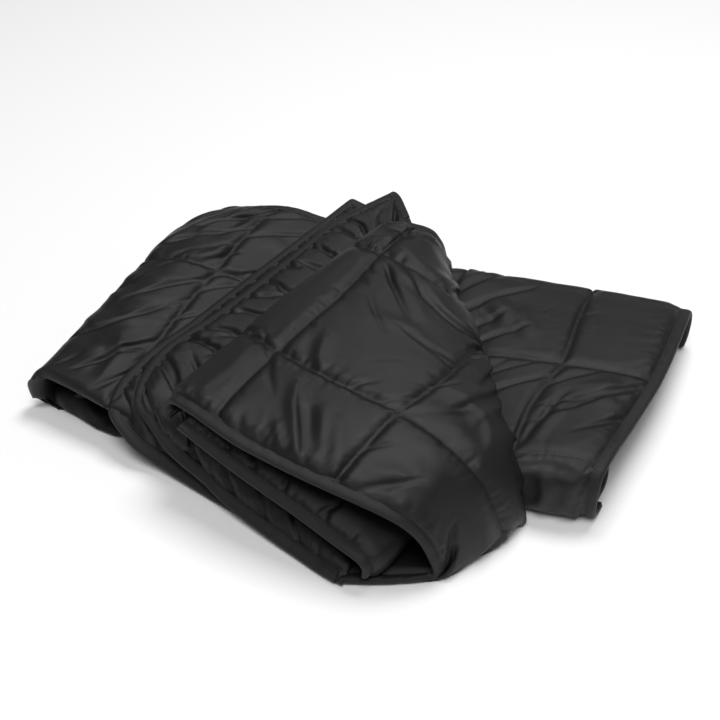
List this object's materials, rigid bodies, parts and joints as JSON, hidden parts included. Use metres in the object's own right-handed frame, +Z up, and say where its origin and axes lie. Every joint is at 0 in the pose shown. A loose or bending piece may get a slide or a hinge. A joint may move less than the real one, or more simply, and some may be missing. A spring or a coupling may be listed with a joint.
{
  "type": "infrared sauna blanket",
  "caption": "Quilted heating blanket folded into a loose stack, with bound edges, an open mouth and a turned-over flap.",
  "frame": {"origin": "centre of the folded blanket's overall box, on the floor", "axes": "+X to the right along the longest side, towards the open mouth; +Y to the back; +Z up"},
  "size_m": [0.7004, 0.5228, 0.126],
  "materials": {
    "cover": "satin woven nylon",
    "lining": "coated fabric, wipe clean",
    "binding": "woven tape",
    "heating_layer": "carbon fibre weave",
    "wiring": "flat silicone lead",
    "inlet": "moulded",
    "sensor": "moulded"
  },
  "bodies": {
    "base": {"base_lower_cover": "cover", "base_lower_heater": "heating_layer", "base_lower_lining": "lining", "base_lower_back_binding": "binding", "base_upper_pad": "cover", "base_upper_back_binding": "binding", "mouth_top_cover": "cover", "mouth_top_heater": "heating_layer", "mouth_top_lining": "lining", "mouth_front_fold": "cover", "mouth_back_fold": "cover", "mouth_binding_top": "binding", "mouth_binding_bottom": "binding", "mouth_binding_front": "binding", "nose_outer_fold": "cover", "nose_inner_fold": "cover", "power_inlet": "inlet", "heater_leads": "wiring", "thermal_cutout": "sensor", "temperature_sensor": "sensor"},
    "upper": {"upper_top_cover": "cover", "upper_top_heater": "heating_layer", "upper_top_lining": "lining", "upper_under_pad": "cover", "upper_back_binding": "binding", "under_back_binding": "binding", "lobe_fold": "cover"},
    "flap": {"flap_cover": "cover", "flap_heater": "heating_layer", "flap_lining": "lining", "flap_hem_binding": "binding", "flap_skirt": "cover", "flap_left_fold": "cover", "return_pad": "cover", "return_hem_binding": "binding", "loop_fold": "cover", "end_upper_pad": "cover", "end_upper_binding": "binding", "end_upper_hem": "binding", "end_lower_pad": "cover", "end_lower_binding": "binding", "end_lower_hem": "binding"}
  },
  "joints": [
    {"name": "upper_unfold", "type": "hinge", "parent": "base", "child": "upper", "pos_m": [-0.2647, 0.1229, 0.022], "axis": [-0.4617, -0.887, 0], "range_deg": [0, 95], "deforming": ["nose_outer_fold", "nose_inner_fold"]},
    {"name": "flap_unfold", "type": "hinge", "parent": "upper", "child": "flap", "pos_m": [0.1142, -0.0878, 0.082], "axis": [-0.1564, 0.9877, 0], "range_deg": [0, 150], "deforming": ["lobe_fold"]}
  ]
}
